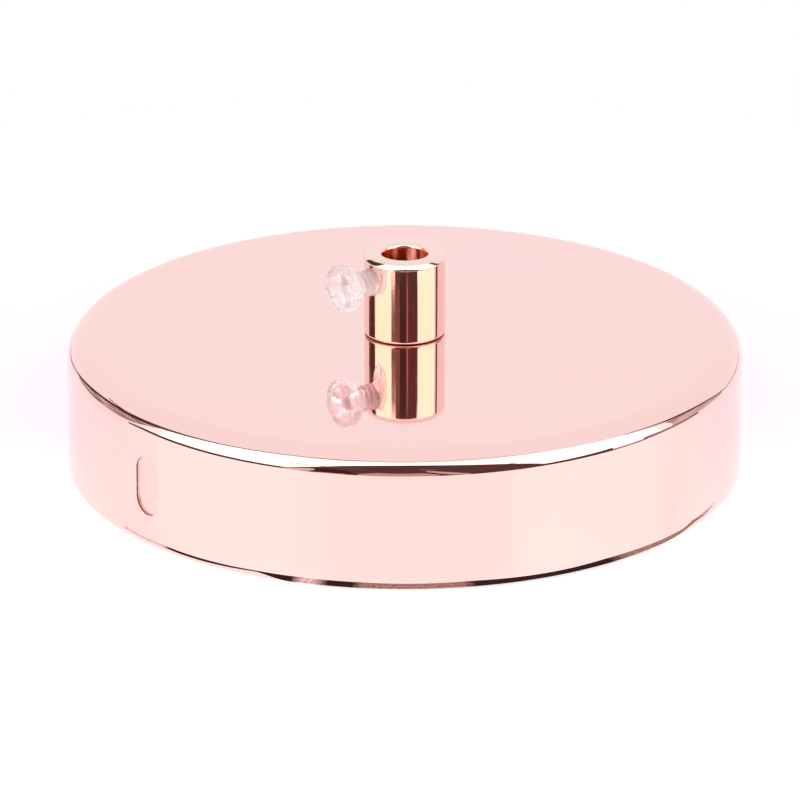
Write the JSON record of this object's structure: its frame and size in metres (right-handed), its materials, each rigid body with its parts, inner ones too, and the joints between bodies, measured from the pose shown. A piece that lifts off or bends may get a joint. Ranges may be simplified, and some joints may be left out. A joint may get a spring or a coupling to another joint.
{
  "type": "light fixture ceiling canopy",
  "caption": "Shallow round metal ceiling cup for a pendant lamp, with a turned cord grip at its centre, a clear clamp screw and slots in the wall for side fixing.",
  "frame": {"origin": "centre of the rim's plane, on the axis of the cup and of the cord way", "axes": "+Z along the cord way, from the rim to the cord grip; the two side slots lie on the X axis"},
  "size_m": [0.12, 0.12, 0.0401],
  "materials": {
    "rose_gold_plated_steel": "polished",
    "rose_gold_plated_brass": "polished",
    "zinc_plated_steel": "satin",
    "clear_plastic": "gloss"
  },
  "bodies": {
    "canopy": {"canopy_cup": "rose_gold_plated_steel", "cord_grip_barrel": "rose_gold_plated_brass", "threaded_tube": "zinc_plated_steel", "lock_washer": "zinc_plated_steel", "hex_nut": "zinc_plated_steel"},
    "screw": {"clamp_screw": "clear_plastic"}
  },
  "joints": [
    {"name": "clamp_screw_travel", "type": "slide", "parent": "canopy", "child": "screw", "axis": [0.9893, -0.1461, 0], "range_m": [-0.0019, 0.0039]}
  ]
}
